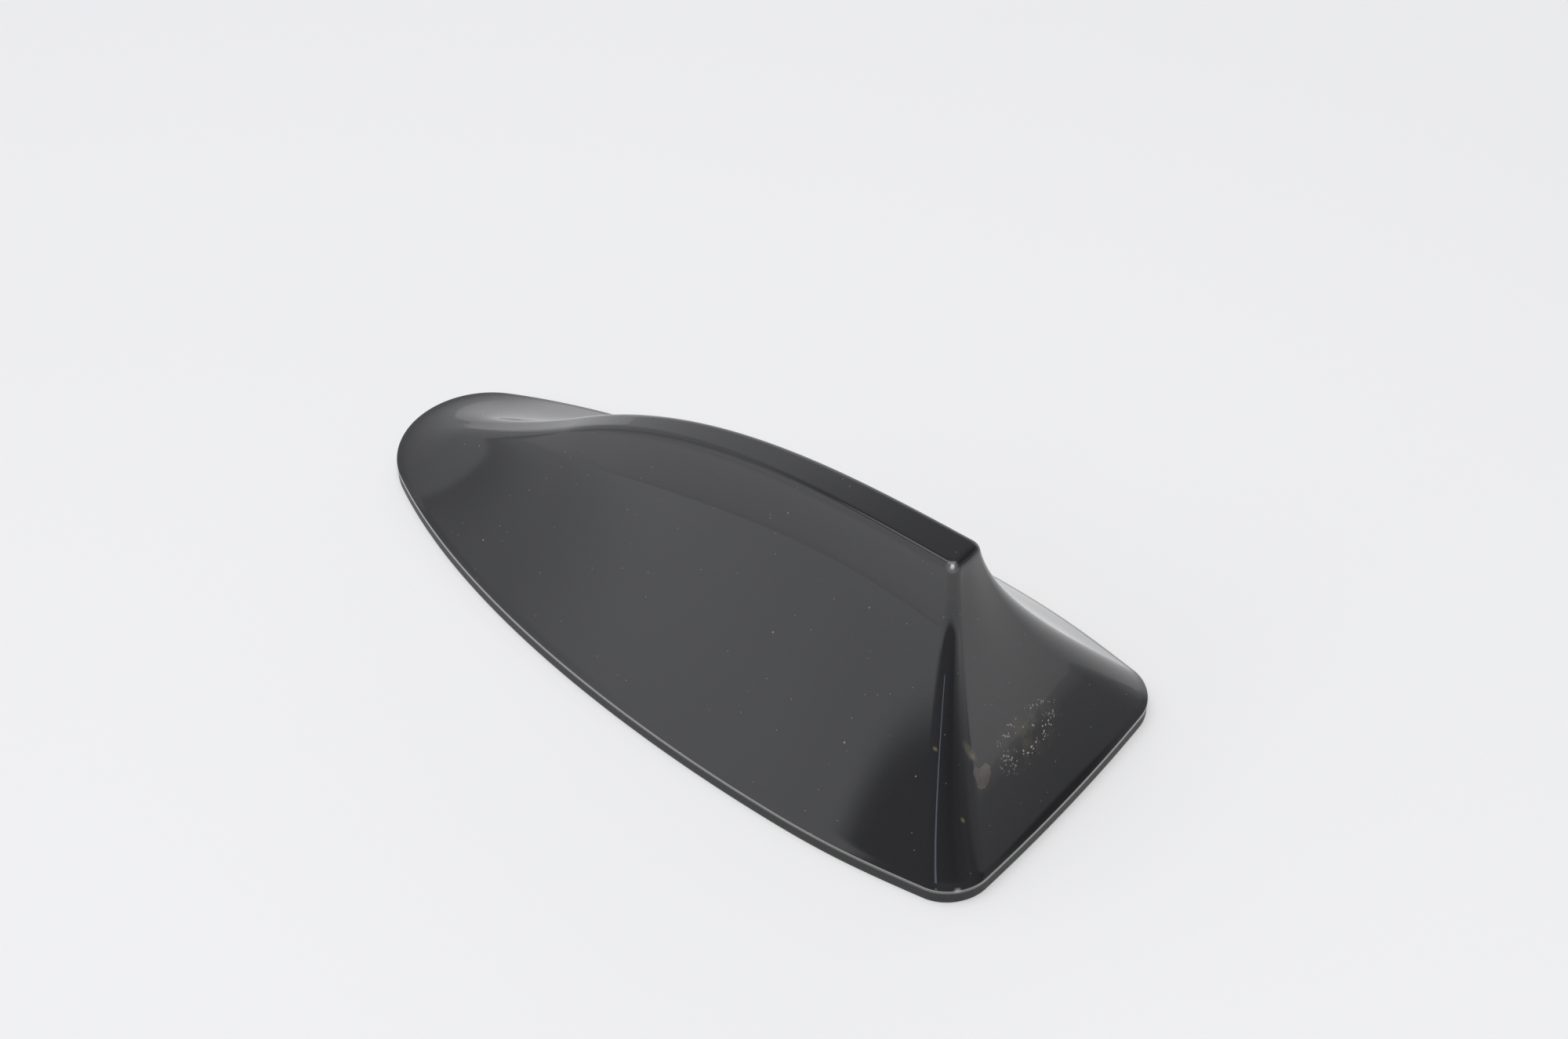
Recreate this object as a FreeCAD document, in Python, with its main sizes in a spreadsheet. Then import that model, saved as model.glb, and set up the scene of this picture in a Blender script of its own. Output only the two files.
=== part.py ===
"""Roof antenna cover: one thin moulded fin, open underneath, that clips over an antenna base.

Frame: +X to the nose, +Y to the left flank, +Z up.  The rim stands on z = 0, under the
middle of the outline.  Lengths are millimetres and angles are degrees.
"""
import FreeCAD, Part
import os
from math import atan, cos, hypot, pi, radians, sin, tan

Vector = FreeCAD.Vector

SIZES = (
    # the whole moulding
    ("length", 156.0, "nose to tail, along the rim"),
    ("width", 71.0, "across the control points of the rim, 0.6 more than the moulding"),
    ("height", 48.0, "rim plane to the top of the fin"),
    ("wall", 1.8, "flank wall"),
    ("roof", 2.2, "wall above the hollow, under the top band"),
    # the rim, seen from above
    ("nose_radius", 17.5, "round nose"),
    ("nose_sweep", 62.3, "angle of the nose arc on each side"),
    ("nose_pull", 31.0, "stiffness of the side where it leaves the nose"),
    ("widest_from_tail", 45.0, "place of the widest part"),
    ("widest_pull", 34.3, "stiffness of the side ahead of the widest part"),
    ("tail_pull", 15.2, "stiffness of the side behind the widest part"),
    ("tail_width", 63.7, "across the rim where its rear corners start"),
    ("tail_taper", 10.0, "angle of the sides there"),
    ("corner_from_tail", 7.9, "start of each rear corner, ahead of the tail"),
    ("tail_edge_width", 47.2, "rear edge between the corners"),
    ("tail_bow", 1.6, "bow of the rear edge over the full width"),
    # the rim, in section
    ("skirt_height", 2.4, "upright edge of the rim"),
    ("roll_lead", 0.35, "run of the first, steep part of the rolled edge"),
    ("roll_rise", 0.85, "rise of that part"),
    ("roll_run", 1.2, "run of the whole rolled edge"),
    # the ridge line and the flat band on top of it
    ("crest_from_tail", 28.0, "where the ridge starts to fall towards the nose"),
    ("ridge_power", 2.78, "how late the ridge falls"),
    ("ridge_turn_from_nose", 42.0, "where the ridge stops getting steeper"),
    ("ridge_turn_height", 25.75, "height of the ridge there"),
    ("ridge_from_nose", 9.0, "front end of the band"),
    ("ridge_front_height", 6.35, "height of the ridge there"),
    ("top_from_tail", 24.1, "rear edge of the band, ahead of the tail"),
    ("band_rear_width", 7.8, "band at its rear edge"),
    ("band_front_width", 4.2, "band at its front end"),
    ("band_tip", 5.0, "length of the band's rounded front end"),
    ("band_swell", 0.7, "how early the band gains its width"),
    ("band_corner", 1.3, "rear corners of the band, seen from above"),
    ("band_edge", 1.1, "softened edge along the band"),
    # the flanks, as slopes above level and how far each slope holds
    ("flank_top_slope", 79.0, "flank under the band"),
    ("tail_top_slope", 78.0, "rear face under the band"),
    ("nose_rim_slope", 9.0, "nose at the rim"),
    ("front_rim_slope", 26.0, "flank at the rim, at the nose end"),
    ("rear_rim_slope", 49.0, "flank at the rim, at the tail end"),
    ("tail_rim_slope", 40.0, "rear face at the rim"),
    ("rim_hold", 0.40, "share of the run that keeps the rim slope"),
    ("nose_rim_hold", 0.25, "the same on the nose"),
    ("top_hold", 0.33, "share of the rise that keeps a steep top slope"),
    ("side_hold", 0.23, "share of the run that keeps a gentle one"),
    ("edge_fade", 46.0, "length over which the band's edges fade into the nose"),
    ("nose_blend", 22.0, "length over which the flank turns into the nose"),
    # inside
    ("lug_length", 9.0, "snap lug along the rim"),
    ("lug_reach", 1.6, "snap lug inwards from the wall"),
    ("lug_height", 1.2, "snap lug from its foot to its top"),
    ("lug_foot", 0.6, "foot of the lugs above the rim"),
    ("rear_lug_from_tail", 30.0, "middle of the rear pair of lugs"),
    ("lug_spacing", 34.0, "one pair of lugs to the next"),
    ("cut_through", 1.0, "how far the core runs out below the rim"),
)

# Surface spans along the rim: nose, front and back of the side, corner, tail.
RIM_SPAN_COUNTS = (4, 4, 2, 2, 1)
NOSE, FRONT, BACK, CORNER, TAIL = range(5)
# Surface spans up a rib: rolled edge, flank, softened edge of the band.
RIB_SPAN_COUNTS = (1, 4, 1)
ARC_HANDLE = 0.56
SEW_GAP = 1e-3

doc = FreeCAD.newDocument("antenna_cover")

sheet = doc.addObject("Spreadsheet::Sheet", "sizes")
for row, (alias, value, note) in enumerate(SIZES, 1):
    sheet.set(f"A{row}", note)
    sheet.set(f"B{row}", str(value))
    sheet.setAlias(f"B{row}", alias)
doc.recompute()


def size(alias):
    """The value of one cell of the sheet."""
    return float(sheet.get(alias))


def mix(start, end, share):
    return start + (end - start) * share


def ease(share):
    """0 to 1 with a soft start and a soft end."""
    share = min(1.0, max(0.0, share))
    return share * share * (3 - 2 * share)


def bezier(points, share):
    while len(points) > 1:
        points = [mix(a, b, share) for a, b in zip(points, points[1:])]
    return points[0]


def heading(angle):
    """Unit vector in plan, turned from +X towards +Y."""
    return Vector(cos(radians(angle)), sin(radians(angle)), 0)


half_length = size("length") / 2
half_width = size("width") / 2
nose_centre = Vector(half_length - size("nose_radius"), 0, 0)
ridge_front = half_length - size("ridge_from_nose")
ridge_turn = half_length - size("ridge_turn_from_nose")
crest = size("crest_from_tail") - half_length
band_rear = size("top_from_tail") - half_length


def tail_edge(y):
    return Vector(size("tail_bow") * (y / half_width) ** 2 - half_length, y, 0)


def rim_plan(stretch, share):
    """A point of the left half of the rim, seen from above."""
    nose_end = nose_centre + heading(size("nose_sweep")) * size("nose_radius")
    widest = Vector(size("widest_from_tail") - half_length, half_width, 0)
    corner_start = Vector(size("corner_from_tail") - half_length, size("tail_width") / 2, 0)
    forward = heading(size("tail_taper"))
    if stretch == NOSE:
        return nose_centre + heading(size("nose_sweep") * share) * size("nose_radius")
    if stretch == FRONT:
        leave = nose_end + heading(size("nose_sweep") + 90) * size("nose_pull")
        arrive = widest + heading(0) * size("widest_pull")
        return bezier([nose_end, leave, arrive, widest], share)
    if stretch == BACK:
        leave = widest - heading(0) * size("tail_pull")
        arrive = corner_start + forward * size("tail_pull")
        return bezier([widest, leave, arrive, corner_start], share)
    corner_end = tail_edge(size("tail_edge_width") / 2)
    if stretch == TAIL:
        return tail_edge(corner_end.y * (1 - share))
    # the corner's handles point at the place where the side and the rear edge would meet
    bow_slope = 2 * size("tail_bow") * corner_end.y / half_width ** 2
    gap = corner_start - corner_end
    reach = (gap.x - bow_slope * gap.y) / (forward.x - bow_slope * forward.y)
    sharp = corner_start - forward * reach
    leave = mix(corner_start, sharp, ARC_HANDLE)
    arrive = mix(corner_end, sharp, ARC_HANDLE)
    return bezier([corner_start, leave, arrive, corner_end], share)


def ridge_height(x):
    """An ever steeper curve down to the turn, then a slope that slowly eases to the nose."""
    fall = size("height") - size("ridge_turn_height")
    if x < ridge_turn:
        return size("height") - fall * (max(0.0, x - crest) / (ridge_turn - crest)) ** size("ridge_power")
    turn_slope = fall * size("ridge_power") / (ridge_turn - crest)
    nose_part = ridge_front - ridge_turn
    eased = size("ridge_front_height") - size("ridge_turn_height") + turn_slope * nose_part
    beyond = x - ridge_turn
    return size("ridge_turn_height") - turn_slope * beyond + eased * (beyond / nose_part) ** 2


def ridge_slope(x):
    step = 0.01
    return (ridge_height(x - step) - ridge_height(x + step)) / (2 * step)


def chain_share(stretches, stretch, share):
    """Share of the way along a chain of stretches, counted in spans."""
    done = sum(RIM_SPAN_COUNTS[earlier] for earlier in stretches if earlier < stretch)
    return (done + share * RIM_SPAN_COUNTS[stretch]) / sum(RIM_SPAN_COUNTS[one] for one in stretches)


def band_plan(stretch, share, inset):
    """The edge of the top band, matched to the rim; inset draws it in for the hollow."""
    front = ridge_front - size("band_tip")
    rear = band_rear + inset
    front_half = size("band_front_width") / 2 - inset
    rear_half = size("band_rear_width") / 2 - inset
    corner = 0.0 if inset else size("band_corner")
    if stretch == NOSE:
        turn = share * pi / 2
        return Vector(front + (size("band_tip") - inset) * cos(turn), front_half * sin(turn), 0)
    if stretch in (FRONT, BACK):
        along = chain_share((FRONT, BACK), stretch, share)
        half = mix(front_half, rear_half, along ** size("band_swell"))
        return Vector(mix(front, rear + corner, along), half, 0)
    if stretch == CORNER:
        turn = share * pi / 2
        return Vector(rear + corner * (1 - sin(turn)), rear_half - corner * (1 - cos(turn)), 0)
    return Vector(rear, (rear_half - corner) * (1 - share), 0)


def band_inside(stretch, share):
    """The line where the band's softened edge ends and its flat top starts."""
    edge = band_plan(stretch, share, 0.0)
    corner = size("band_corner")
    if stretch == NOSE:
        narrower = 1 - 2 * corner / size("band_front_width")
        return Vector(edge.x - corner * cos(share * pi / 2), edge.y * narrower, 0)
    if stretch == CORNER:
        return band_plan(BACK, 1.0, 0.0) - Vector(0, corner, 0)
    if stretch == TAIL:
        return edge + Vector(corner, 0, 0)
    return edge - Vector(0, corner, 0)


def rear_turn(stretch, share):
    """0 along the nose and the front of the flank, rising to 1 at the rear edge."""
    if stretch in (NOSE, FRONT):
        return 0.0
    if stretch == TAIL:
        return 1.0
    return ease(chain_share((BACK, CORNER), stretch, share))


def rib(stretch, share, inset, drop):
    """One rib from the rim up to the band, as curves with their spans: rolled edge, flank, band edge."""
    foot = rim_plan(stretch, share)
    top = band_plan(stretch, share, 0.0)
    inward = (top - foot).normalize()

    slope_along = max(0.0, -inward.x * ridge_slope(top.x))
    edge_share = sin(min(1.0, (ridge_front - top.x) / size("edge_fade")) * pi / 2)
    turn = rear_turn(stretch, share)
    side_slope = radians(mix(size("flank_top_slope"), size("tail_top_slope"), turn))
    top_slope = mix(atan(slope_along), side_slope, edge_share)
    nose_share = ease((foot.x - half_length + size("nose_blend")) / size("nose_blend"))
    from_tail = (foot.x + half_length) / size("length")
    flank_slope = mix(size("rear_rim_slope"), size("front_rim_slope"), from_tail)
    rear_slope = mix(flank_slope, size("tail_rim_slope"), turn)
    rim_slope = radians(mix(rear_slope, size("nose_rim_slope"), nose_share))

    # the rolled edge ends where the flank starts; the hollow starts one wall inside it
    lead_height = size("skirt_height") + size("roll_rise")
    roll_run = size("roll_run")
    start_height = lead_height + (roll_run - size("roll_lead")) * tan(rim_slope)
    start = foot + inward * roll_run + Vector(0, 0, start_height)
    if inset:
        top = band_plan(stretch, share, inset)
        start_height += (inset - roll_run) * tan(rim_slope) - inset / cos(rim_slope)
        start = foot + inward * inset + Vector(0, 0, start_height)
        level = Vector(start.x, start.y, 0)
        inward = (top - level).normalize()
    top.z = ridge_height(top.x) - drop

    edge = 0.0 if inset else size("band_edge")
    climb = inward * cos(top_slope) + Vector(0, 0, sin(top_slope))
    edge_start = top - climb * edge
    rise = edge_start.z - start.z
    run = hypot(edge_start.x - start.x, edge_start.y - start.y)
    low_run = run * mix(size("rim_hold"), size("nose_rim_hold"), nose_share)
    low = start + (inward + Vector(0, 0, tan(rim_slope))) * low_run
    high_length = mix(run * size("side_hold"), rise * size("top_hold"), sin(top_slope) ** 2)
    high = edge_start - climb * high_length
    roll_spans, flank_spans, edge_spans = RIB_SPAN_COUNTS
    flank = ([start, low, high, edge_start], flank_spans)
    if inset:
        return [flank]

    # the softened edge ends one corner radius in, so that the rear corners close in a ball
    end = band_inside(stretch, share)
    end.z = ridge_height(end.x)
    crease = foot + Vector(0, 0, size("skirt_height"))
    lead = foot + inward * size("roll_lead") + Vector(0, 0, lead_height)
    return [([crease, lead, start], roll_spans), flank, ([edge_start, top, end], edge_spans)]


def pole_places(spans):
    """Where the control points of a clamped cubic curve lie along its spans."""
    inner = [float(step) for step in range(1, spans)]
    return [0.0, 1 / 3] + inner + [spans - 1 / 3, float(spans)]


def clamped_knots(spans):
    return list(range(spans + 1)), [4] + [1] * (spans - 1) + [4]


def along_runs(runs, place):
    """The run of spans that a place falls in, and the share of that run before it."""
    for run, spans in runs:
        if place <= spans:
            break
        place -= spans
    return run, min(1.0, place / spans)


def skin(stretches, inset, drop, side):
    """The surface over some stretches of the rim, on the left (side 1) or right (side -1)."""
    rim_runs = [(stretch, RIM_SPAN_COUNTS[stretch]) for stretch in stretches]
    rim_spans = sum(spans for stretch, spans in rim_runs)
    columns = []
    for place in pole_places(rim_spans):
        curves = rib(*along_runs(rim_runs, place), inset, drop)
        rib_spans = sum(spans for curve, spans in curves)
        poles = [bezier(*along_runs(curves, height)) for height in pole_places(rib_spans)]
        columns.append([Vector(pole.x, side * pole.y, pole.z) for pole in poles])
    along_knots, along_mults = clamped_knots(rim_spans)
    up_knots, up_mults = clamped_knots(rib_spans)
    surface = Part.BSplineSurface()
    surface.buildFromPolesMultsKnots(
        columns, along_mults, up_mults, along_knots, up_knots, False, False, 3, 3)
    return surface


def flattened(curve, height):
    """The same curve with all its poles at one height."""
    for index, pole in enumerate(curve.getPoles(), 1):
        curve.setPole(index, Vector(pole.x, pole.y, height))
    return curve.toShape()


def moulding_form(inset, drop, floor):
    """A closed solid: the skin over its ribs, the band on top, an upright edge and a floor."""
    flanks = (NOSE, FRONT, BACK)
    faces = []
    feet = []
    band_edges = []
    for side in (1, -1):
        for stretches in (flanks, (CORNER,), (TAIL,)):
            surface = skin(stretches, inset, drop, side)
            foot = flattened(surface.vIso(0), floor)
            faces.append(surface.toShape())
            faces.append(Part.makeRuledSurface(surface.vIso(0).toShape(), foot))
            feet.append(foot)
            if stretches == flanks:
                last_row = surface.bounds()[3]
                band_edges.append(surface.vIso(last_row).toShape())
    faces.append(Part.makeRuledSurface(*band_edges))
    faces.append(Part.Face(Part.Wire(Part.__sortEdges__(feet))))
    shell = Part.Shell(faces)
    shell.sewShape(SEW_GAP)
    solid = Part.Solid(shell)
    if solid.Volume < 0:
        solid.reverse()
    return solid


def rim_prism(inset, bottom, top):
    """An upright prism with the rim's outline, drawn in by inset."""
    edges = []
    for side in (1, -1):
        for stretch, spans in enumerate(RIM_SPAN_COUNTS):
            poles = []
            for place in pole_places(spans):
                foot = rim_plan(stretch, place / spans)
                inward = (band_plan(stretch, place / spans, 0.0) - foot).normalize()
                inner = foot + inward * inset
                poles.append(Vector(inner.x, side * inner.y, bottom))
            knots, mults = clamped_knots(spans)
            curve = Part.BSplineCurve()
            curve.buildFromPolesMultsKnots(poles, mults, knots, False, 3)
            edges.append(curve.toShape())
    outline = Part.Face(Part.Wire(Part.__sortEdges__(edges)))
    return outline.extrude(Vector(0, 0, top - bottom))


# The outside of the moulding, and the core that leaves it hollow.
outer_form = doc.addObject("Part::Feature", "outer_form")
outer_form.Shape = moulding_form(0.0, 0.0, 0.0)

core_form = doc.addObject("Part::Feature", "core_form")
core_form.Shape = moulding_form(size("wall"), size("roof"), -size("cut_through"))


def cross_bar(name, length, height, x_middle, z_foot):
    """A bar across the whole width; its sizes are expressions of the sheet."""
    bar = doc.addObject("Part::Box", name)
    bar.setExpression("Length", length)
    bar.setExpression("Width", "sizes.width")
    bar.setExpression("Height", height)
    bar.setExpression("Placement.Base.x", f"{x_middle} - sizes.length / 2 - ({length}) / 2")
    bar.setExpression("Placement.Base.y", "-sizes.width / 2")
    bar.setExpression("Placement.Base.z", z_foot)
    return bar


# Pairs of snap lugs stand in from the wall and catch the edge of the antenna base.
LUG_PAIRS = 3
lug_bars = []
for index in range(LUG_PAIRS):
    middle = f"sizes.rear_lug_from_tail + {index} * sizes.lug_spacing"
    lug_bars.append(
        cross_bar(f"lug_bar_{index + 1}", "sizes.lug_length", "sizes.lug_height", middle, "sizes.lug_foot"))

base_room = doc.addObject("Part::Feature", "base_room")
lug_top = size("lug_foot") + size("lug_height") + size("cut_through")
base_room.Shape = rim_prism(size("wall") + size("lug_reach"), -size("cut_through"), lug_top)

all_lug_bars = doc.addObject("Part::MultiFuse", "lug_bars")
all_lug_bars.Shapes = lug_bars
lugs = doc.addObject("Part::Cut", "snap_lugs")
lugs.Base = all_lug_bars
lugs.Tool = base_room

# The core has notches where the lugs are moulded.
core = doc.addObject("Part::Cut", "core")
core.Base = core_form
core.Tool = lugs

cover = doc.addObject("Part::Cut", "cover")
cover.Base = outer_form
cover.Tool = core
cover.Label = "antenna_cover"
doc.recompute()

for item in doc.Objects:
    if "Invalid" in item.State or "Error" in item.State:
        raise RuntimeError(f"{item.Label} did not build")
shape = cover.Shape
if shape.isNull() or not shape.isValid() or len(shape.Solids) != 1:
    raise RuntimeError("the cover is not one valid solid")

os.makedirs("parts", exist_ok=True)
shape.Solids[0].exportStep(f"parts/{cover.Label}.step")
print(cover.Label, f"{shape.Volume:.0f} mm3", shape.optimalBoundingBox())
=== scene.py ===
import bmesh
import bpy
from math import atan, cos, hypot, pi, radians, sin, tan
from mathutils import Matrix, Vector


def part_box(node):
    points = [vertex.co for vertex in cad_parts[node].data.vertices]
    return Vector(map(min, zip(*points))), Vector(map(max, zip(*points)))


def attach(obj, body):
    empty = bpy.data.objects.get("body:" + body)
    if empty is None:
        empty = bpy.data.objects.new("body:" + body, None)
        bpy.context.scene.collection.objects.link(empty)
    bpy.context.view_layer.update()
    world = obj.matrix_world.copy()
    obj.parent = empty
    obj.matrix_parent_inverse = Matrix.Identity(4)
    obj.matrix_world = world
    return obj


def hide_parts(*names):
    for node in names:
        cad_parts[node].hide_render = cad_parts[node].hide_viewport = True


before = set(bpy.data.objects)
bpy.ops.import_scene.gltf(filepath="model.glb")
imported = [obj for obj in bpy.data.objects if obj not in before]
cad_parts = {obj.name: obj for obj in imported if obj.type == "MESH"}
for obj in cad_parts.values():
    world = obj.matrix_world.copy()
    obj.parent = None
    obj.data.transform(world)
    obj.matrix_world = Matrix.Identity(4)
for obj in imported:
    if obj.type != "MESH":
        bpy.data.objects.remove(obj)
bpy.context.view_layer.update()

# The antenna cover is one thin shell of moulded ABS, open underneath and painted outside in a
# gloss dark grey.  Its concave flanks rise from a rolled rim to a narrow flat band, and it clips
# over the antenna base by snap lugs on the inside of its wall.
MM = 0.001
high_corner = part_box("antenna_cover")[1]
half_length = high_corner.x / MM
half_width = high_corner.y / MM
height = high_corner.z / MM
wall = 1.8
roof = 2.2

# The rim, seen from above: round nose, swelling sides, tight rear corners, bowed rear edge.
nose_radius = 17.5
nose_sweep = 62.3
nose_pull = 31.0
widest_x = 45.0 - half_length
widest_pull = 34.3
tail_pull = 15.2
tail_half_width = 31.85
tail_taper = 10.0
corner_x = 7.9 - half_length
tail_edge_half = 23.6
tail_bow = 1.6
arc_handle = 0.56

# The rim, in section: an upright skirt, a tight lip, and a roll that leads into the flank.
edge_break = 0.2
skirt_height = 2.4
skirt_recess = 0.12
lip_lift = 0.6
lip_radius = 0.25
roll_swell = 0.2
roll_lead = 0.35
roll_rise = 0.85
roll_run = 1.2

# The ridge line, and the flat band along it.
crest_x = 28.0 - half_length
ridge_turn = half_length - 42.0
ridge_turn_height = 25.75
ridge_power = 2.78
ridge_front = half_length - 9.0
ridge_front_height = 6.35
band_rear = 24.1 - half_length
band_rear_half = 3.9
band_front_half = 2.1
band_tip = 5.0
band_corner = 1.7
band_edge = 1.6

# How far ahead of its place on the band's edge a rib ends on the band's middle line.
nose_seam = -2.0
flank_seam = 4.0
corner_seam = 3.2
tail_seam = 2.4

# Slopes of a rib above level, and how far along the rib each of them holds.
flank_top_slope = 79.0
tail_top_slope = 78.0
nose_rim_slope = 9.0
front_rim_slope = 26.0
rear_rim_slope = 49.0
tail_rim_slope = 40.0
rim_hold = 0.40
nose_rim_hold = 0.25
top_hold = 0.33
side_hold = 0.23
edge_fade = 46.0
nose_blend = 22.0

# Columns of the mesh on each stretch of the rim, from the nose round to the tail.
NOSE, FRONT, BACK, CORNER, TAIL = range(5)
columns_along = {NOSE: 40, FRONT: 84, BACK: 36, CORNER: 40, TAIL: 30}


def mix(start, end, share):
    return start + (end - start) * share


def ease(share):
    """0 to 1 with a soft start and a soft end."""
    share = min(1.0, max(0.0, share))
    return share * share * (3 - 2 * share)


def bezier(points, share):
    while len(points) > 1:
        points = [mix(a, b, share) for a, b in zip(points, points[1:])]
    return points[0]


def heading(angle):
    """Unit vector in plan, turned from the nose towards the left flank."""
    return Vector((cos(radians(angle)), sin(radians(angle)), 0))


def along(stretches, stretch, share):
    """Share of the way along several stretches of the rim, counted in columns."""
    done = sum(columns_along[earlier] for earlier in stretches if earlier < stretch)
    total = sum(columns_along[one] for one in stretches)
    return (done + share * columns_along[stretch]) / total


def tail_edge(y):
    return Vector((tail_bow * (y / half_width) ** 2 - half_length, y, 0))


def rim_plan(stretch, share):
    """A point of the left half of the rim, seen from above."""
    nose_centre = Vector((half_length - nose_radius, 0, 0))
    nose_end = nose_centre + heading(nose_sweep) * nose_radius
    widest = Vector((widest_x, half_width, 0))
    corner_start = Vector((corner_x, tail_half_width, 0))
    forward = heading(tail_taper)
    if stretch == NOSE:
        return nose_centre + heading(nose_sweep * share) * nose_radius
    if stretch == FRONT:
        leave = nose_end + heading(nose_sweep + 90) * nose_pull
        return bezier([nose_end, leave, widest + heading(0) * widest_pull, widest], share)
    if stretch == BACK:
        arrive = corner_start + forward * tail_pull
        return bezier([widest, widest - heading(0) * tail_pull, arrive, corner_start], share)
    if stretch == TAIL:
        return tail_edge(tail_edge_half * (1 - share))
    # the corner's handles point at the place where the side and the rear edge would meet
    corner_end = tail_edge(tail_edge_half)
    bow_slope = 2 * tail_bow * tail_edge_half / half_width ** 2
    gap = corner_start - corner_end
    reach = (gap.x - bow_slope * gap.y) / (forward.x - bow_slope * forward.y)
    sharp = corner_start - forward * reach
    leave = mix(corner_start, sharp, arc_handle)
    return bezier([corner_start, leave, mix(corner_end, sharp, arc_handle), corner_end], share)


def ridge_height(x):
    """An ever steeper curve down to the turn, then a slope that slowly relaxes to the nose."""
    fall = height - ridge_turn_height
    if x < ridge_turn:
        return height - fall * (max(0.0, x - crest_x) / (ridge_turn - crest_x)) ** ridge_power
    turn_slope = fall * ridge_power / (ridge_turn - crest_x)
    nose_part = ridge_front - ridge_turn
    eased = ridge_front_height - ridge_turn_height + turn_slope * nose_part
    beyond = x - ridge_turn
    return ridge_turn_height - turn_slope * beyond + eased * (beyond / nose_part) ** 2


def ridge_slope(x):
    step = 0.01
    return (ridge_height(x - step) - ridge_height(x + step)) / (2 * step)


def band_plan(stretch, share, inset):
    """The edge of the top band, matched to the rim; inset draws it in for the hollow."""
    front = ridge_front - band_tip
    rear = band_rear + inset
    front_half = band_front_half - inset
    rear_half = band_rear_half - inset
    corner = band_corner * rear_half / band_rear_half
    turn = share * pi / 2
    if stretch == NOSE:
        return Vector((front + (band_tip - inset) * cos(turn), front_half * sin(turn), 0))
    if stretch in (FRONT, BACK):
        done = along((FRONT, BACK), stretch, share)
        half = mix(front_half, rear_half, done * (3 - done) / 2)
        return Vector((mix(front, rear + corner, done), half, 0))
    if stretch == CORNER:
        return Vector((rear + corner * (1 - sin(turn)), rear_half - corner * (1 - cos(turn)), 0))
    return Vector((rear, (rear_half - corner) * (1 - share), 0))


def band_middle(stretch, share, inset):
    """The point of the band's middle line where the rib ends."""
    if stretch == NOSE:
        ahead = nose_seam
    elif stretch == CORNER:
        ahead = mix(flank_seam, corner_seam, share)
    elif stretch == TAIL:
        ahead = mix(corner_seam, tail_seam, share)
    else:
        ahead = mix(nose_seam, flank_seam, along((FRONT, BACK), stretch, share))
    return Vector((band_plan(stretch, share, inset).x + ahead, 0, 0))


def rear_turn(stretch, share):
    """0 along the nose and the front of the flank, rising to 1 at the rear edge."""
    if stretch in (NOSE, FRONT):
        return 0.0
    if stretch == TAIL:
        return 1.0
    return ease(along((BACK, CORNER), stretch, share))


up = Vector((0, 0, 1))


def rib(stretch, share, inset, drop):
    """A rib from the rim up to the middle of the band: foot, flank, edge, band, rolled edge."""
    foot = rim_plan(stretch, share)
    top = band_plan(stretch, share, 0.0)
    inward = (top - foot).normalized()
    turn = rear_turn(stretch, share)
    slope_along = max(0.0, -inward.x * ridge_slope(top.x))
    side_slope = radians(mix(flank_top_slope, tail_top_slope, turn))
    edge_share = sin(min(1.0, (ridge_front - top.x) / edge_fade) * pi / 2)
    top_slope = mix(atan(slope_along), side_slope, edge_share)
    nose_share = ease((foot.x - half_length + nose_blend) / nose_blend)
    flank_slope = mix(rear_rim_slope, front_rim_slope, (foot.x + half_length) / (2 * half_length))
    rim_slope = radians(mix(mix(flank_slope, tail_rim_slope, turn), nose_rim_slope, nose_share))

    # the rolled edge ends where the flank starts; the hollow starts one wall inside it
    crease = foot + up * skirt_height
    lead = foot + inward * roll_lead + up * (skirt_height + roll_rise)
    start_height = skirt_height + roll_rise + (roll_run - roll_lead) * tan(rim_slope)
    start = foot + inward * roll_run + up * start_height
    if inset:
        foot = foot + inward * inset
        top = band_plan(stretch, share, inset)
        start_height += (inset - roll_run) * tan(rim_slope) - inset / cos(rim_slope)
        start = foot + up * start_height
        inward = (top - foot).normalized()
    top.z = ridge_height(top.x) - drop
    middle = band_middle(stretch, share, inset)
    middle.z = ridge_height(middle.x) - drop

    edge = band_edge * (1 - inset / band_rear_half)
    climb = inward * cos(top_slope) + up * sin(top_slope)
    edge_start = top - climb * edge
    edge_end = top + (middle - top).normalized() * edge
    rise = edge_start.z - start.z
    run = hypot(edge_start.x - start.x, edge_start.y - start.y)
    low = start + (inward + up * tan(rim_slope)) * (run * mix(rim_hold, nose_rim_hold, nose_share))
    high = edge_start - climb * mix(run * side_hold, rise * top_hold, sin(top_slope) ** 2)
    flank = [start, low, high, edge_start]
    return foot, flank, [edge_start, top, edge_end], [edge_end, middle], [crease, lead, start]


# The snap lugs are short ledges on the inside of the wall, three to a side.
lug_foot = 0.6
lug_top = 1.8
lug_reach = 1.6
lug_length = 9.0
lug_count = 3
first_lug = 30.0
lug_spacing = 34.0
lug_middles = [first_lug + lug_spacing * index - half_length for index in range(lug_count)]

# Rows of the mesh on each run of the wall: down the hollow, round the rim, up the outside.
rows_along = {
    "inner_band": 2,
    "inner_edge": 4,
    "inner_flank": 28,
    "above_lug": 1,
    "lug": 1,
    "below_lug": 1,
    "inner_break": 2,
    "sole": 1,
    "outer_break": 2,
    "skirt": 4,
    "lip": 8,
    "roll": 10,
    "flank": 64,
    "edge": 12,
    "band": 6,
}


def first_row(run):
    """The row of the mesh where a run of the wall begins."""
    names = list(rows_along)
    return sum(rows_along[name] for name in names[:names.index(run)])


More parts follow.
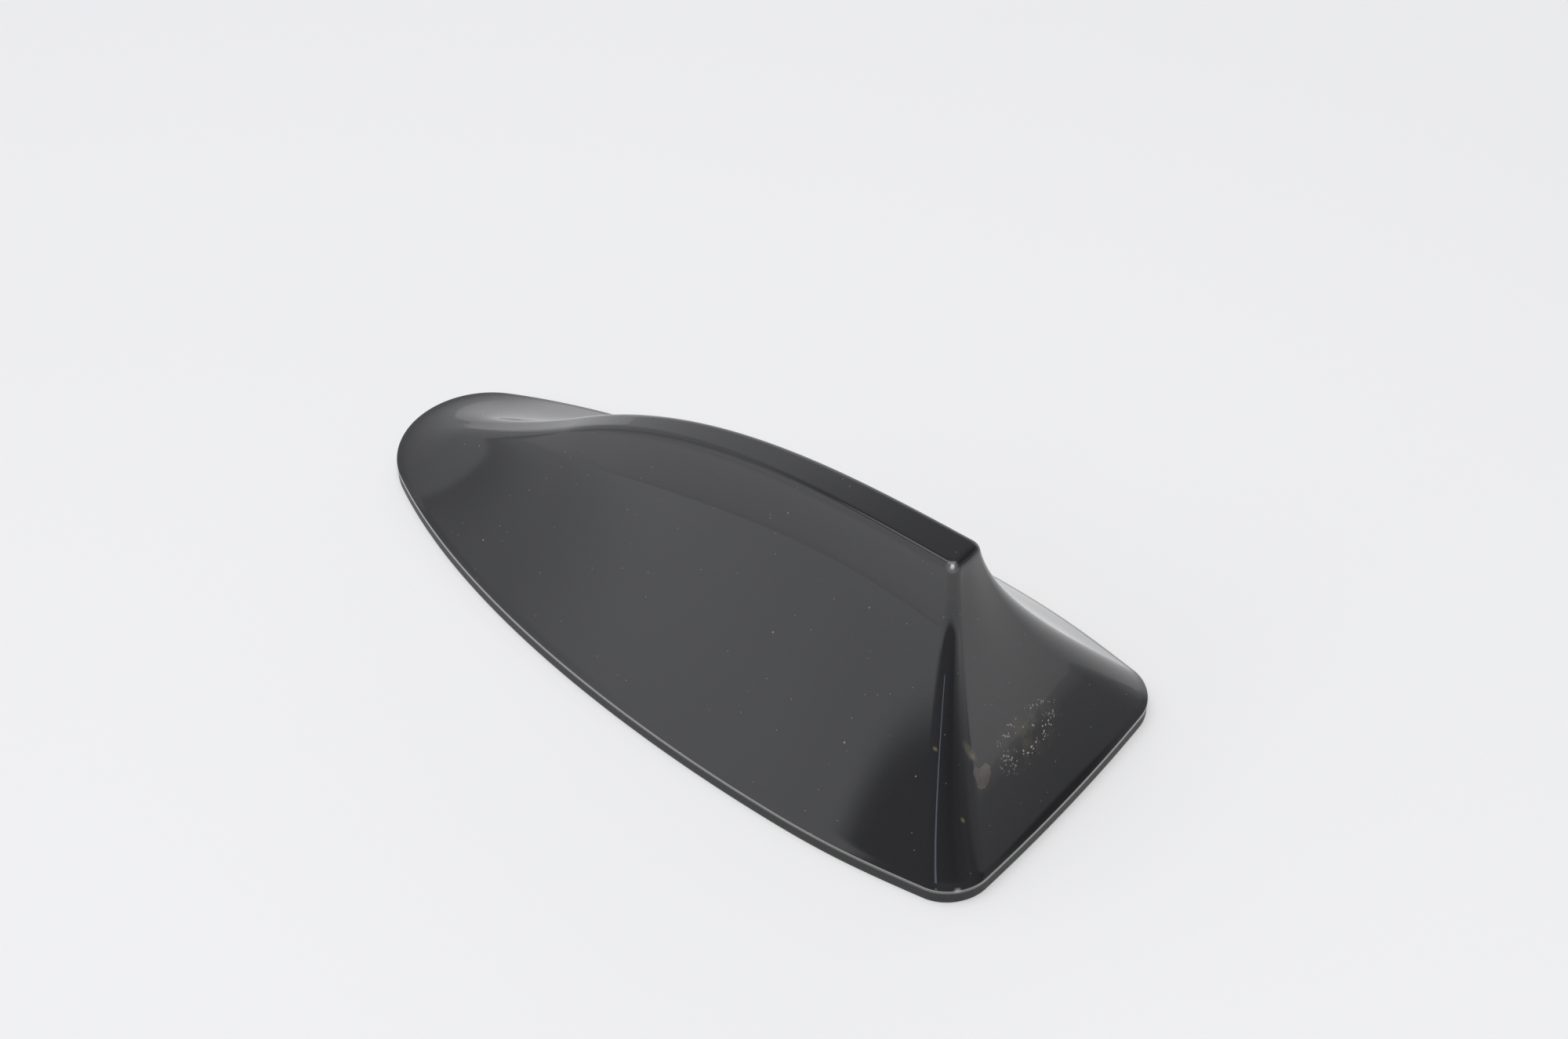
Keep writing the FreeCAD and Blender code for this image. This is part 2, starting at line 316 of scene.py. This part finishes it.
def section(stretch, share):
    """The wall cut along one rib, from the hollow's top down to the rim and up the outside."""
    inner_foot, inner_flank, inner_edge, inner_band = rib(stretch, share, wall, roof)[:4]
    foot, flank, edge, band, (crease, lead, start) = rib(stretch, share, 0.0, 0.0)
    outward = (foot - inner_foot).normalized()
    lug_ceiling = inner_foot + up * min(lug_top, inner_flank[0].z - edge_break)
    lug_sill = inner_foot + up * lug_foot
    inner_corner = [inner_foot + up * edge_break, inner_foot, inner_foot + outward * edge_break]
    skirt_foot = foot - outward * skirt_recess
    outer_corner = [skirt_foot - outward * edge_break, skirt_foot, skirt_foot + up * edge_break]
    lip = crease + up * lip_lift
    skirt_top = lip - outward * skirt_recess
    lead = lead + outward * roll_swell
    lip_end = lip + (lead - lip).normalized() * lip_radius
    curves = {
        "inner_band": inner_band[::-1],
        "inner_edge": inner_edge[::-1],
        "inner_flank": inner_flank[::-1],
        "above_lug": [inner_flank[0], lug_ceiling],
        "lug": [lug_ceiling, lug_sill],
        "below_lug": [lug_sill, inner_corner[0]],
        "inner_break": inner_corner,
        "sole": [inner_corner[-1], outer_corner[0]],
        "outer_break": outer_corner,
        "skirt": [outer_corner[-1], skirt_top],
        "lip": [skirt_top, lip, lip_end],
        "roll": [lip_end, lead, start],
        "flank": flank,
        "edge": edge,
        "band": band,
    }
    points = [inner_band[-1]]
    for run, rows in rows_along.items():
        points += [bezier(curves[run], (row + 1) / rows) for row in range(rows)]
    return points


sections = []
for stretch, columns in columns_along.items():
    sections += [section(stretch, column / columns) for column in range(columns)]
sections.append(section(TAIL, 1.0))

# A flat grid takes its place on the sections: columns along the rim, rows round the wall.  The
# paint reaches down over the lip to the top row of the skirt.
half_shell = bmesh.new()
columns = len(sections) - 1
rows = len(sections[0]) - 1
grid_half = 0.5
bmesh.ops.create_grid(half_shell, x_segments=columns, y_segments=rows, size=grid_half)
INSIDE, OUTSIDE = range(2)
bare_skirt_rows = 3
paint_row = first_row("skirt") + bare_skirt_rows
lug_row = first_row("lug")
lug_faces = []
for face in half_shell.faces:
    row = int((face.calc_center_median().y + grid_half) * rows)
    face.material_index = OUTSIDE if row >= paint_row else INSIDE
    face.smooth = True
    if row == lug_row:
        lug_faces.append(face)
for vert in half_shell.verts:
    column = round((vert.co.x + grid_half) * columns)
    row = round((vert.co.y + grid_half) * rows)
    vert.co = sections[column][row]

# The lugs grow out of one row of the inner wall.
lug_roots = []
for middle in lug_middles:
    nearby = [face for face in lug_faces if abs(face.calc_center_median().x - middle) < lug_length / 2]
    lug_roots.append(nearby)
for root in lug_roots:
    grown = bmesh.ops.extrude_face_region(half_shell, geom=root)
    tips = [item for item in grown["geom"] if isinstance(item, bmesh.types.BMVert)]
    bmesh.ops.translate(half_shell, verts=tips, vec=(0, -lug_reach, 0))
    bmesh.ops.delete(half_shell, geom=root, context="FACES")

weld = 0.001
everything = half_shell.verts[:] + half_shell.edges[:] + half_shell.faces[:]
bmesh.ops.mirror(half_shell, geom=everything, axis="Y", merge_dist=weld)
bmesh.ops.remove_doubles(half_shell, verts=half_shell.verts, dist=weld)
bmesh.ops.recalc_face_normals(half_shell, faces=half_shell.faces)
bmesh.ops.scale(half_shell, verts=half_shell.verts, vec=(MM, MM, MM))

shell_mesh = bpy.data.meshes.new("painted_shell")
half_shell.to_mesh(shell_mesh)
half_shell.free()
painted_shell = bpy.data.objects.new("painted_shell", shell_mesh)
bpy.context.collection.objects.link(painted_shell)


def linear(hex_colour):
    """An sRGB hex colour as linear red, green, blue and alpha."""
    channels = [int(hex_colour[place:place + 2], 16) / 255 for place in (1, 3, 5)]
    return [c / 12.92 if c <= 0.04045 else ((c + 0.055) / 1.055) ** 2.4 for c in channels] + [1.0]


def add(tree, kind, settings=None, *feeds, **links):
    """Adds a node.  Settings go by the name of a property or socket, feeds fill the sockets in
    order, links go by socket name; each feed or link is a node, a socket or a plain value."""
    node = tree.nodes.new(kind)
    for name, value in (settings or {}).items():
        if hasattr(node, name):
            setattr(node, name, value)
        else:
            node.inputs[name].default_value = value
    wanted = list(zip(node.inputs, feeds))
    wanted += [(node.inputs[name], feed) for name, feed in links.items()]
    for socket, feed in wanted:
        if isinstance(feed, bpy.types.Node):
            feed = feed.outputs[0]
        if isinstance(feed, bpy.types.NodeSocket):
            tree.links.new(feed, socket)
        else:
            socket.default_value = feed
    return node


# Bare black ABS inside and at the foot of the skirt: moulded against a spark-eroded tool, which
# gives the eye a fine grain and a soft satin.
bare_abs = bpy.data.materials.new("bare_black_abs")
bare_abs.use_nodes = True
bare_tree = bare_abs.node_tree
bare_shader = bare_tree.nodes["Principled BSDF"]
bare_shader.inputs["Base Color"].default_value = linear("#1c1d1e")
bare_shader.inputs["IOR"].default_value = 1.53
spark_grain = 0.35
spark_depth = 0.02
satin_range = {"To Min": 0.42, "To Max": 0.58}
bare_place = add(bare_tree, "ShaderNodeTexCoord").outputs["Object"]
grain = add(bare_tree, "ShaderNodeTexNoise", {"Scale": 1 / (spark_grain * MM)}, bare_place)
grain_bump = add(bare_tree, "ShaderNodeBump", {"Distance": spark_depth * MM}, Height=grain)
satin = add(bare_tree, "ShaderNodeMapRange", satin_range, grain)
bare_tree.links.new(grain_bump.outputs["Normal"], bare_shader.inputs["Normal"])
bare_tree.links.new(satin.outputs["Result"], bare_shader.inputs["Roughness"])

# Clear-coated dark grey paint outside: sprayed pigment with a fine flake, under a clear coat that
# mirrors the room.  The coat has a faint orange peel from the spray gun.
gloss_paint = bpy.data.materials.new("clear_coated_dark_grey_paint")
gloss_paint.use_nodes = True
paint = gloss_paint.node_tree
paint_shader = paint.nodes["Principled BSDF"]
paint_shader.inputs["IOR"].default_value = 1.3
paint_shader.inputs["Coat Weight"].default_value = 1.0
paint_shader.inputs["Coat Roughness"].default_value = 0.03
paint_shader.inputs["Coat IOR"].default_value = 1.6
place = add(paint, "ShaderNodeTexCoord").outputs["Object"]
peel_size = 2.4
peel_depth = 0.001
peel = add(paint, "ShaderNodeTexNoise", {"Scale": 1 / (peel_size * MM), "Detail": 1.0}, place)
peel_bump = add(paint, "ShaderNodeBump", {"Distance": peel_depth * MM}, Height=peel)
paint.links.new(peel_bump.outputs["Normal"], paint_shader.inputs["Normal"])
paint.links.new(peel_bump.outputs["Normal"], paint_shader.inputs["Coat Normal"])

# the flake is some hundredths of a millimetre across, drawn coarser so that it shows
flake_size = 0.25
flake = add(paint, "ShaderNodeTexNoise", {"Scale": 1 / (flake_size * MM), "Detail": 2.0}, place)
colour = add(paint, "ShaderNodeMixRGB", {}, flake, linear("#1c1c1e"), linear("#29292b"))

# Dirt is laid over the paint by masks, which are drawn from these patterns.
times = {"operation": "MULTIPLY"}
under = {"operation": "LESS_THAN"}
close_to = {"operation": "COMPARE"}


def spread(centre, reach):
    """How far a place is from a centre, as a share of a reach in millimetres."""
    offset = add(paint, "ShaderNodeVectorMath", {"operation": "SUBTRACT"}, place, Vector(centre) * MM)
    share = add(paint, "ShaderNodeVectorMath", {"operation": "DIVIDE"}, offset, Vector(reach) * MM)
    return add(paint, "ShaderNodeVectorMath", {"operation": "LENGTH"}, share).outputs["Value"]


def blot(centre, reach):
    """A soft patch of the paint: 1 at its centre, 0 from its reach outwards."""
    fade = {"interpolation_type": "SMOOTHSTEP", "To Min": 1.0, "To Max": 0.0}
    return add(paint, "ShaderNodeMapRange", fade, spread(centre, reach))


def specks(spacing, radius, kept):
    """Small round dots, one to a cell at most; kept is the share of the cells that have one."""
    cells = add(paint, "ShaderNodeTexVoronoi", {"Scale": 1 / (spacing * MM)}, place)
    inside = add(paint, "ShaderNodeMath", under, cells.outputs["Distance"], radius / spacing)
    draw = add(paint, "ShaderNodeSeparateColor", {}, cells.outputs["Color"])
    drawn = add(paint, "ShaderNodeMath", under, draw, kept)
    return add(paint, "ShaderNodeMath", times, inside, drawn)


# A film on the rear face has dried to a broken ring of pale grains.
film_size = 2.6
film_breaks = {"From Min": 0.42, "From Max": 0.62}
patches = add(paint, "ShaderNodeTexNoise", {"Scale": 1 / (film_size * MM), "Detail": 3.0}, place)
uneven = add(paint, "ShaderNodeMapRange", film_breaks, patches)
residue_middle = (-69.0, 0.6, 13.9)
residue = blot(residue_middle, reach=(20.0, 11.5, 5.4))
film = add(paint, "ShaderNodeMath", times, residue, uneven)
film_grains = add(paint, "ShaderNodeMath", times, specks(spacing=0.7, radius=0.17, kept=0.4), film)
wander_size = 4.0
wander = add(paint, "ShaderNodeTexNoise", {"Scale": 1 / (wander_size * MM), "Detail": 3.0}, place)


def ragged(centre, reach, sway):
    """How far a place is from a centre, with an outline that wanders."""
    drift = add(paint, "ShaderNodeMath", times, wander, sway)
    return add(paint, "ShaderNodeMath", {"operation": "ADD"}, spread(centre, reach), drift)


ring_share = 1.6
ring_half = 0.1
ring_spread = ragged(residue_middle, reach=(20.0, 9.0, 3.6), sway=1.7)
ring = add(paint, "ShaderNodeMath", close_to, ring_spread, ring_share, ring_half)
ring_grains = add(paint, "ShaderNodeMath", times, specks(spacing=0.5, radius=0.18, kept=0.7), ring)
crust = add(paint, "ShaderNodeMath", times, ring_grains, residue)

# A brown drip has dried beside the corner, with its trail above it.
drip_share = 1.45
drip_spread = ragged((-68.3, 13.7, 14.6), reach=(4.0, 3.0, 2.4), sway=1.6)
drip_inside = add(paint, "ShaderNodeMath", under, drip_spread, drip_share)
drip = add(paint, "ShaderNodeMath", times, drip_inside, patches)
trail = blot((-66.0, 13.8, 18.2), reach=(3.5, 1.1, 4.0))
drip_trail = add(paint, "ShaderNodeMath", times, trail, uneven)

# A pale line is painted along the lip of the rim: mostly a painted highlight where the gloss catches
# the light, partly paint rubbed thin.
lip_top = (skirt_height + lip_lift) * MM
lip_half = lip_radius / 2 * MM
level = add(paint, "ShaderNodeSeparateXYZ", {}, place).outputs["Z"]
lip_highlight_and_wear = add(paint, "ShaderNodeMath", close_to, level, lip_top, lip_half)

# Each layer has its mask, its strength and its colour: fine and coarse dust, the dried film and
# drip, two straw flecks, then the painted highlight along the lip (partly rubbed paint) and the
# painted highlights on the band's corner and on the rim's corner.
layers = (
    (specks(spacing=2.0, radius=0.11, kept=0.5), 0.6, "#8d8c88"),
    (specks(spacing=7.0, radius=0.2, kept=0.5), 0.65, "#a3a29d"),
    (film, 0.9, "#4f4a40"),
    (film_grains, 0.9, "#b5b3ac"),
    (crust, 1.3, "#cfcdc6"),
    (drip, 1.2, "#655d50"),
    (drip_trail, 0.9, "#77705f"),
    (blot((-61.3, 17.8, 20.1), reach=(0.7, 0.34, 0.8)), 1.0, "#7d7350"),
    (blot((-70.1, 21.2, 11.0), reach=(0.7, 0.4, 0.9)), 1.0, "#7d7350"),
    # painted highlight along the lip, partly rubbed paint
    (lip_highlight_and_wear, 1.0, "#a5a5a1"),
    # painted highlight on the band's rear corner: a pale grey halo round a white core
    (blot((-53.0, 3.5, 47.5), reach=(1.5, 1.5, 1.5)), 0.9, "#8a8a8a"),
    (blot((-53.0, 3.6, 47.6), reach=(0.6, 0.6, 0.6)), 1.0, "#f2f2f2"),
    # painted highlight on the rim's corner at the lip
    (blot((-74.8, 28.6, 3.0), reach=(1.0, 1.0, 0.6)), 1.0, "#d8d8d8"),
)
for mask, strength, hex_colour in layers:
    share = add(paint, "ShaderNodeMath", times, mask, strength)
    colour = add(paint, "ShaderNodeMixRGB", {}, share, colour, linear(hex_colour))
dull_range = {"To Min": 0.45, "To Max": 0.8}
dull = add(paint, "ShaderNodeMapRange", dull_range, film)
paint.links.new(colour.outputs["Color"], paint_shader.inputs["Base Color"])
paint.links.new(dull.outputs["Result"], paint_shader.inputs["Roughness"])

shell_mesh.materials.append(bare_abs)
shell_mesh.materials.append(gloss_paint)
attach(painted_shell, "root")
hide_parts("antenna_cover")

# The floor is a plain pale table top, a matt painted board just under the rim.
# It is wide enough to end far behind the cover.
floor_half = 3.0
floor_drop = 0.1
floor_form = bmesh.new()
bmesh.ops.create_grid(floor_form, x_segments=1, y_segments=1, size=floor_half)
bmesh.ops.translate(floor_form, verts=floor_form.verts, vec=(0, 0, -floor_drop * MM))
floor_mesh = bpy.data.meshes.new("pale_floor")
floor_form.to_mesh(floor_mesh)
floor_form.free()
pale_floor = bpy.data.objects.new("pale_floor", floor_mesh)
bpy.context.collection.objects.link(pale_floor)

# Matt white board: the part of its brightness that the lamps don't give glows to the eye and in
# the gloss only, and more so far out, where no lamp reaches.  From below it is clear.
white_board = bpy.data.materials.new("matt_white_board")
white_board.use_nodes = True
board = white_board.node_tree
board_shader = board.nodes["Principled BSDF"]
board_shader.inputs["Base Color"].default_value = linear("#e4e4e5")
board_shader.inputs["Roughness"].default_value = 0.9
board_shader.inputs["Specular IOR Level"].default_value = 0.1
board_shader.inputs["Emission Color"].default_value = linear("#ffffff")
near_glow = 0.31
far_glow = 0.5
lamp_edge = 0.4
dim_edge = 1.8
glow_rise = {"From Min": lamp_edge, "From Max": dim_edge, "To Min": near_glow, "To Max": far_glow}
board_place = add(board, "ShaderNodeTexCoord").outputs["Object"]
board_spread = add(board, "ShaderNodeVectorMath", {"operation": "LENGTH"}, board_place).outputs["Value"]
board_glow = add(board, "ShaderNodeMapRange", glow_rise, board_spread)
rays = add(board, "ShaderNodeLightPath").outputs
either = {"operation": "MAXIMUM"}
seen = add(board, "ShaderNodeMath", either, rays["Is Camera Ray"], rays["Is Glossy Ray"])
glow = add(board, "ShaderNodeMath", times, seen, board_glow)
board.links.new(glow.outputs["Value"], board_shader.inputs["Emission Strength"])
from_below = add(board, "ShaderNodeNewGeometry").outputs["Backfacing"]
clear = add(board, "ShaderNodeBsdfTransparent")
one_sided = add(board, "ShaderNodeMixShader", {}, from_below, board_shader, clear)
board.links.new(one_sided.outputs[0], board.nodes["Material Output"].inputs["Surface"])
floor_mesh.materials.append(white_board)

# The studio has pale walls ahead of the nose and low behind the tail, and is darker at the sides
# and above.  The gloss mirrors it, and the camera sees a plain pale backdrop in its place.
studio = bpy.data.worlds.new("studio")
bpy.context.scene.world = studio
studio.use_nodes = True
room = studio.node_tree
background = room.nodes["Background"]
background.inputs["Color"].default_value = linear("#fafbff")
way = add(room, "ShaderNodeTexCoord").outputs["Generated"]
parts = add(room, "ShaderNodeSeparateXYZ", {}, way).outputs
soft = {"interpolation_type": "SMOOTHSTEP"}
facing = {"operation": "DOT_PRODUCT"}
ceiling_lean = (-0.35, -0.175, 1)
ceiling_fade = soft | {"From Min": 0.37, "From Max": 0.75, "To Min": 1.07, "To Max": 0.18}
climb = add(room, "ShaderNodeVectorMath", facing, way, ceiling_lean).outputs["Value"]
climb_fade = add(room, "ShaderNodeMapRange", ceiling_fade, climb)

# how bright the walls are, by the bearing in degrees from the nose towards the left flank
half_turn = 180
wall_levels = {
    -168: 0.8, -152: 0.34, -122: 0.3, -108: 0.45, -95: 0.9, -55: 0.92, -40: 0.6, -25: 0.5,
    3: 0.66, 7: 0.42, 25: 0.68, 45: 0.97, 72: 0.88, 77: 0.1, 150: 0.1, 165: 0.6,
}
tail_level = 1.0
bearing = add(room, "ShaderNodeMath", {"operation": "ARCTAN2"}, parts["Y"], parts["X"])
bearing_share = add(room, "ShaderNodeMapRange", {"From Min": -pi, "From Max": pi}, bearing)
walls = add(room, "ShaderNodeValToRGB", {}, bearing_share)
walls.color_ramp.interpolation = "EASE"
wall_stops = walls.color_ramp.elements
for angle, brightness in wall_levels.items():
    stop = wall_stops.new((angle + half_turn) / (2 * half_turn))
    stop.color = (brightness, brightness, brightness, 1)
for end in (0, -1):
    wall_stops[end].color = (tail_level, tail_level, tail_level, 1)
room_level = add(room, "ShaderNodeMath", times, climb_fade, walls)


def wall_patch(brightness, azimuth, side_edge, side_full, low_full, low_edge):
    """An even patch of wall on one side of the room, up to a certain height."""
    side = add(room, "ShaderNodeVectorMath", facing, way, heading(azimuth)).outputs["Value"]
    across = soft | {"From Min": side_edge, "From Max": side_full, "To Max": brightness}
    upward = soft | {"From Min": low_full, "From Max": low_edge, "To Min": 1.0, "To Max": 0.0}
    side_share = add(room, "ShaderNodeMapRange", across, side)
    low_share = add(room, "ShaderNodeMapRange", upward, parts["Z"])
    return add(room, "ShaderNodeMath", times, side_share, low_share)


# a low pale skirting runs along the left rear, and a grey screen with a pale foot stands behind
# the tail
screen_side = {"azimuth": -140, "side_edge": 0.6, "side_full": 0.9}
wall_patches = (
    wall_patch(0.85, azimuth=115, side_edge=0.0, side_full=0.3, low_full=0.08, low_edge=0.2),
    wall_patch(0.34, low_full=0.4, low_edge=0.6, **screen_side),
    wall_patch(0.7, low_full=-0.05, low_edge=0.14, **screen_side),
)
for patch in wall_patches:
    room_level = add(room, "ShaderNodeMath", either, room_level, patch)
backdrop_level = 0.8
to_eye = add(room, "ShaderNodeLightPath").outputs["Is Camera Ray"]
shown = add(room, "ShaderNodeMix", {"B": backdrop_level}, Factor=to_eye, A=room_level)
room.links.new(shown.outputs[0], background.inputs["Strength"])


# The lamps are flat soft panels: a wide one overhead, a smaller one high on the left, and a
# narrow cool strip that draws the thin line down the rear corner.
def area_lamp(name, azimuth, elevation, distance, width, tall, radiance, hex_colour="#ffffff"):
    """A flat lamp that faces the middle of the floor from one direction."""
    lamp = bpy.data.lights.new(name, "AREA")
    lamp.shape = "RECTANGLE"
    lamp.size = width
    lamp.size_y = tall
    lamp.color = linear(hex_colour)[:3]
    lamp.energy = radiance * pi * width * tall
    lamp_object = bpy.data.objects.new(name, lamp)
    way_out = heading(azimuth) * cos(radians(elevation)) + up * sin(radians(elevation))
    lamp_object.location = way_out * distance
    lamp_object.rotation_euler = way_out.to_track_quat("Z", "Y").to_euler()
    bpy.context.collection.objects.link(lamp_object)


softbox_panel = {"distance": 1.4, "width": 1.0, "tall": 1.0}
ceiling_panel = {"distance": 1.5, "width": 0.5, "tall": 0.5}
strip_panel = {"distance": 1.6, "width": 0.1, "tall": 0.75, "hex_colour": "#d9e6ff"}
area_lamp("overhead_softbox", azimuth=35, elevation=84, radiance=1.8, **softbox_panel)
area_lamp("ceiling_lamp", azimuth=129, elevation=64, radiance=6.4, **ceiling_panel)
area_lamp("window_strip", azimuth=112, elevation=36, radiance=1.7, **strip_panel)

# The camera stands over the left rear corner and looks down along the cover, at the
# photograph's viewing angle.
photo_width = 2000
focal_pixels = 3800
camera_data = bpy.data.cameras.new("photo_camera")
camera_data.sensor_width = 36.0
camera_data.lens = camera_data.sensor_width * focal_pixels / photo_width
camera = bpy.data.objects.new("photo_camera", camera_data)
bpy.context.collection.objects.link(camera)
camera_target = Vector((5.69, -24.54, 0.0)) * MM
camera.location = Vector((-247.75, 290.79, 405.93)) * MM
camera.rotation_euler = (camera.location - camera_target).to_track_quat("Z", "Y").to_euler()
bpy.context.scene.camera = camera
bpy.context.scene.view_settings.view_transform = "Standard"
